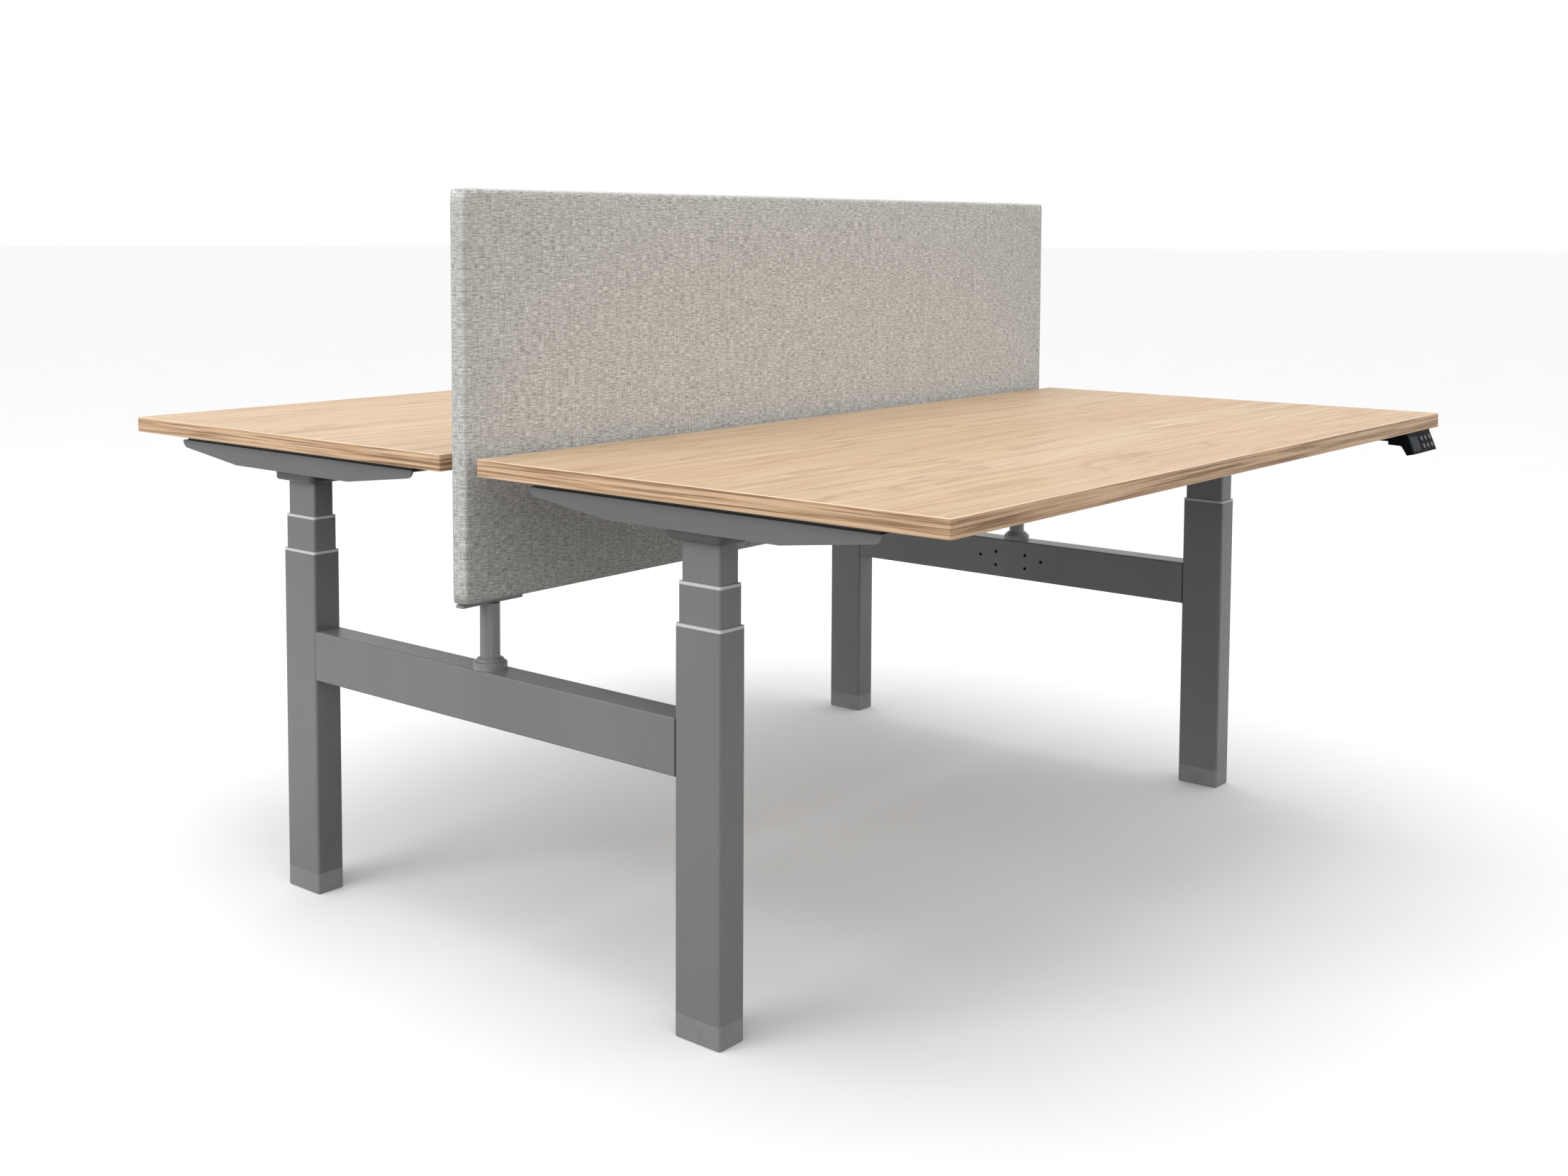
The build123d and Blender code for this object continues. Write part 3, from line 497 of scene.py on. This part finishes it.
def face_frame(side_name):
    """Middles of four of a handset's buttons, and the right, up and outward directions of its face."""
    boxes = {k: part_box(f"{side_name}_button_{k}") for k in ("up", "down", "memory_3", "store")}
    middles = {k: (low + high) / 2 for k, (low, high) in boxes.items()}
    joint = [j for j in frame["joints"] if j["name"] == f"{side_name}_press_up"][0]
    out = -Vector(joint["axis"]).normalized()
    up = (middles["up"] - middles["down"]).normalized()
    right = (middles["memory_3"] - middles["up"]).normalized()
    return middles, right, up, out


def window_pane(side_name):
    """Display window in the handset's recess, slightly pillowed."""
    middles, right, up, out = face_frame(side_name)
    button_middle = (middles["up"] + middles["down"]) / 2
    # The button is 4 mm long and stands 1.2 mm proud, so its middle is 0.8 mm under the face.
    to_window, lift = 0.034, 0.0005
    centre = button_middle - right * to_window + out * lift
    half_w, half_h, radius = 0.0197, 0.0132, 0.0012
    shape = bmesh.new()
    outline = []
    for cx, cy, start in ((1, 1, 0), (-1, 1, 90), (-1, -1, 180), (1, -1, 270)):
        for step in range(5):
            angle = math.radians(start + step * 22.5)
            outline.append((cx * (half_w - radius) + radius * math.cos(angle),
                            cy * (half_h - radius) + radius * math.sin(angle)))
    levels = ((1.0, -0.0004), (1.0, 0.0), (0.975, 0.00022), (0.90, 0.00030), (0.6, 0.00034), (0.25, 0.00035))
    rings = []
    for scale, height in levels:
        rings.append([shape.verts.new(centre + (right * x + up * y) * scale + out * height)
                      for x, y in outline])
    for a, b in zip(rings, rings[1:]):
        for k in range(len(outline)):
            n = (k + 1) % len(outline)
            shape.faces.new([a[k], a[n], b[n], b[k]])
    shape.faces.new(rings[-1])
    shape.faces.new(rings[0][::-1])
    bmesh.ops.recalc_face_normals(shape, faces=shape.faces)
    mesh_data = bpy.data.meshes.new(f"{side_name}_display_window")
    shape.to_mesh(mesh_data)
    shape.free()
    pane = link_mesh(f"{side_name}_display_window", mesh_data, GLASS)
    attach(pane, f"{side_name}_desk")


def button_marks(side_name):
    """Raised generic marks on the buttons: arrows, one to three dots and a ring."""
    _, right, up, out = face_frame(side_name)

    def circle(centre, radius, count):
        angles = [2 * math.pi * k / count for k in range(count)]
        return [centre + (right * math.cos(a) + up * math.sin(a)) * radius for a in angles]

    def disc(shape, centre, radius, inner=0.0, count=20):
        outer = circle(centre, radius, count)
        top = [shape.verts.new(p + out * MARK_RISE) for p in outer]
        foot = [shape.verts.new(p - out * MARK_SINK) for p in outer]
        for k in range(count):
            n = (k + 1) % count
            shape.faces.new([foot[k], foot[n], top[n], top[k]])
        if inner:
            hole = [shape.verts.new(p + out * MARK_RISE) for p in circle(centre, inner, count)]
            deep = [shape.verts.new(v.co - out * (MARK_RISE + MARK_SINK)) for v in hole]
            for k in range(count):
                n = (k + 1) % count
                shape.faces.new([top[k], top[n], hole[n], hole[k]])
                shape.faces.new([hole[k], hole[n], deep[n], deep[k]])
        else:
            shape.faces.new(top)

    def arrow(shape, centre, sign):
        points = [(-0.0021, -0.0012), (0.0, 0.0019), (0.0021, -0.0012), (0.0013, -0.0012), (0.0, 0.0007),
                  (-0.0013, -0.0012)]
        top = [shape.verts.new(centre + right * x + up * y * sign + out * MARK_RISE) for x, y in points]
        foot = [shape.verts.new(v.co - out * ARROW_DEPTH) for v in top]
        for k in range(len(points)):
            n = (k + 1) % len(points)
            shape.faces.new([foot[k], foot[n], top[n], top[k]])
        shape.faces.new([top[0], top[1], top[4], top[5]])
        shape.faces.new([top[1], top[2], top[3], top[4]])

    for key in ("up", "down", "memory_1", "memory_2", "memory_3", "store"):
        low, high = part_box(f"{side_name}_button_{key}")
        centre = (low + high) / 2 + out * 0.0020
        shape = bmesh.new()
        if key in ("up", "down"):
            arrow(shape, centre, 1 if key == "up" else -1)
        elif key == "store":
            disc(shape, centre, 0.0019, inner=0.0012)
        else:
            count = int(key[-1])
            for n in range(count):
                disc(shape, centre + right * (n - (count - 1) / 2) * 0.0017, 0.00055, count=12)
        bmesh.ops.recalc_face_normals(shape, faces=shape.faces)
        mesh_data = bpy.data.meshes.new(f"{side_name}_mark_{key}")
        shape.to_mesh(mesh_data)
        shape.free()
        mark = link_mesh(f"{side_name}_mark_{key}", mesh_data, PRINT)
        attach(mark, f"{side_name}_button_{key}")


# ---------------------------------------------------------------- studio

def add_floor():
    shape = bmesh.new()
    bmesh.ops.create_grid(shape, x_segments=8, y_segments=8, size=120.0)
    mesh_data = bpy.data.meshes.new("floor")
    shape.to_mesh(mesh_data)
    shape.free()
    floor = link_mesh("floor", mesh_data, floor_material())
    floor.location.z = -0.0005
    floor.visible_diffuse = False


def add_area(name, place, target, size, power):
    data = bpy.data.lights.new(name, "AREA")
    data.shape = "RECTANGLE"
    data.size, data.size_y = size
    data.energy = power
    light = bpy.data.objects.new(name, data)
    light.location = place
    light.rotation_mode = "QUATERNION"
    light.rotation_quaternion = (Vector(target) - Vector(place)).to_track_quat("-Z", "Y")
    bpy.context.scene.collection.objects.link(light)


def add_studio():
    """White surroundings, dimmer from below, with one soft lamp at the near end and one overhead."""
    world = bpy.data.worlds.new("studio")
    world.use_nodes = True
    tree = world.node_tree
    background = tree.nodes["Background"]
    background.inputs["Strength"].default_value = 1.0
    place = tree.nodes.new("ShaderNodeTexCoord")
    split = tree.nodes.new("ShaderNodeSeparateXYZ")
    tree.links.new(place.outputs["Generated"], split.inputs[0])
    level = tree.nodes.new("ShaderNodeMapRange")
    for key, number in (("From Min", -0.10), ("From Max", -0.03), ("To Min", 0.15), ("To Max", 1.0)):
        level.inputs[key].default_value = number
    tree.links.new(split.outputs["Z"], level.inputs["Value"])
    tree.links.new(level.outputs["Result"], background.inputs["Color"])
    bpy.context.scene.world = world
    bpy.context.scene.view_settings.view_transform = "Standard"
    add_area("key", (-4.6, 1.2, 2.6), (0.0, 0.0, 0.6), (2.6, 2.2), 78.0)
    add_area("top", (0.0, 0.0, 4.6), (0.0, 0.0, 0.7), (4.0, 4.0), 60.0)


add_camera()
add_floor()
add_studio()
paint_cad()
screen_cover()
for desk in SIDES:
    window_pane(desk)
    button_marks(desk)
